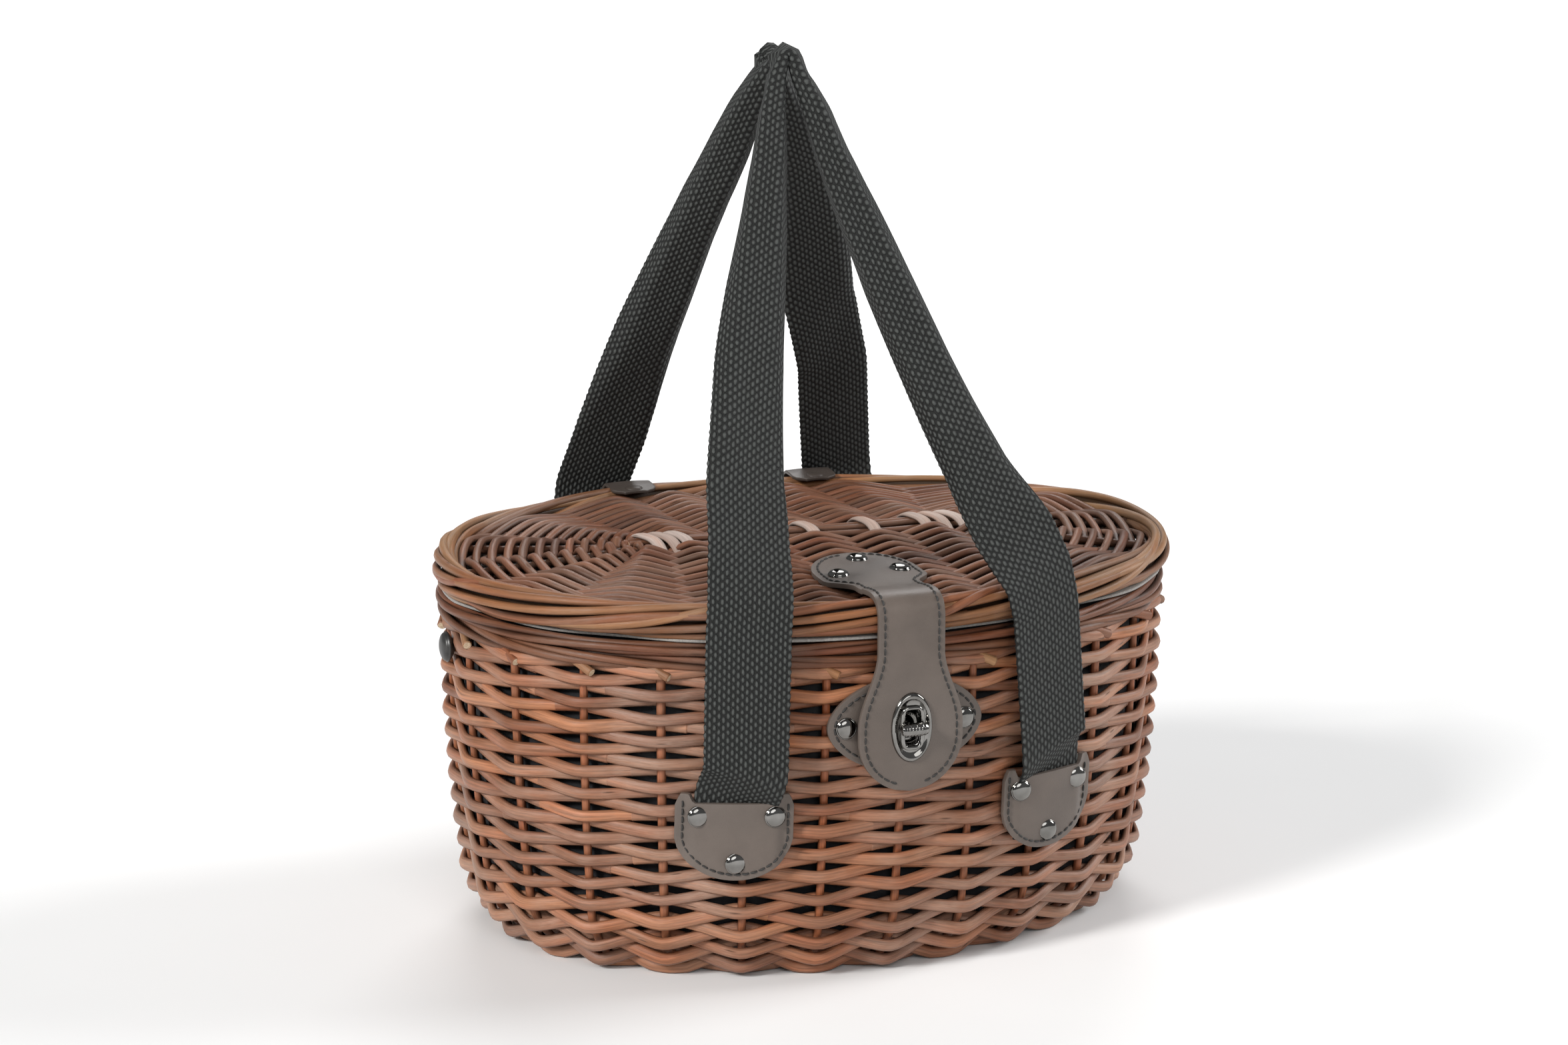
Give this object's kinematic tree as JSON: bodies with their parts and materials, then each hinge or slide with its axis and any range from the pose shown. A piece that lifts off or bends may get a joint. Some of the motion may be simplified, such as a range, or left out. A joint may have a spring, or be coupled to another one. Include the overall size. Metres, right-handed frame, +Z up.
{
  "type": "lidded wicker picnic basket",
  "caption": "Oval woven wicker basket with a hinged lid, a leather strap latch with a turn-lock and two webbing carry handles.",
  "frame": {"origin": "middle of the underside of the base, on the surface the basket stands on", "axes": "+Z up, +X along the basket's length, -Y towards the latch (front), +Y towards the lid hinges"},
  "size_m": [0.4006, 0.319, 0.461],
  "materials": {
    "wicker_side": "split-free willow rods, steamed brown, satin",
    "wicker_stakes": "willow stakes, orange brown, satin",
    "wicker_border": "willow rods, golden tan, satin",
    "wicker_lid": "willow rods, steamed brown, satin",
    "pale_willow": "peeled willow, matt",
    "lining_cloth": "coated lining cloth, slightly glossy",
    "lid_pad_cloth": "pale felt-like lid liner, matt",
    "webbing": "coarse woven charcoal webbing, matt",
    "leather": "smooth taupe leather, satin",
    "nickel": "polished nickel",
    "dark_button": "dark domed button, satin"
  },
  "bodies": {
    "basket": {"base_weave": "wicker_side", "base_long_sticks": "wicker_stakes", "base_cross_sticks": "wicker_stakes", "side_weave": "wicker_side", "side_stakes": "wicker_stakes", "top_wale": "wicker_side", "body_border": "wicker_border", "lining": "lining_cloth", "strap_ends_front": "webbing", "strap_ends_rear": "webbing", "latch_backing": "leather", "backing_rivets": "nickel", "turn_lock_base": "nickel", "patch_front_left": "leather", "patch_rivets_front_left": "nickel", "patch_front_right": "leather", "patch_rivets_front_right": "nickel", "patch_rear_left": "leather", "patch_rivets_rear_left": "nickel", "patch_rear_right": "leather", "patch_rivets_rear_right": "nickel", "body_hinge_drop_left": "leather", "body_hinge_rivet_left": "nickel", "end_button_left": "dark_button", "body_hinge_drop_right": "leather", "body_hinge_rivet_right": "nickel", "end_button_right": "dark_button"},
    "lid": {"lid_border": "wicker_border", "lid_weave": "wicker_lid", "lid_cross_sticks": "wicker_stakes", "lid_end_spokes": "wicker_stakes", "lid_centre_rods": "wicker_lid", "lid_wraps": "pale_willow", "lid_lining": "lid_pad_cloth", "latch_tab": "leather", "latch_tab_rivets": "nickel", "lid_hinge_tab_left": "leather", "lid_hinge_tab_right": "leather", "lid_hinge_rivet_left": "nickel", "lid_hinge_rivet_right": "nickel"},
    "latch": {"latch_flap": "leather", "eyelet_plate": "nickel", "eyelet_back_plate": "nickel"},
    "turn_lock": {"turn_lock_knob": "nickel"},
    "front_handle": {"front_handle": "webbing"},
    "rear_handle": {"rear_handle": "webbing"}
  },
  "joints": [
    {"name": "lid_hinge", "type": "hinge", "parent": "basket", "child": "lid", "pos_m": [0, 0.1525, 0.183], "axis": [-1, 0, 0], "range_deg": [0, 100]},
    {"name": "latch_lift", "type": "hinge", "parent": "lid", "child": "latch", "pos_m": [0, -0.1545, 0.2042], "axis": [-1, 0, 0], "range_deg": [0, 104]},
    {"name": "turn_lock_turn", "type": "hinge", "parent": "basket", "child": "turn_lock", "pos_m": [0, -0.158, 0.138], "axis": [0, 1, 0], "range_deg": [0, 90]},
    {"name": "front_handle_fold", "type": "hinge", "parent": "basket", "child": "front_handle", "pos_m": [0, -0.1506, 0.1178], "axis": [1, 0, 0], "range_deg": [0, 128]},
    {"name": "rear_handle_fold", "type": "hinge", "parent": "basket", "child": "rear_handle", "pos_m": [0, 0.1538, 0.1178], "axis": [-1, 0, 0], "range_deg": [0, 128]}
  ],
  "couplings": [
    {"joint": "front_handle_fold", "follows": "lid_hinge", "ratio": 1.27},
    {"joint": "rear_handle_fold", "follows": "lid_hinge", "ratio": 1.27}
  ]
}
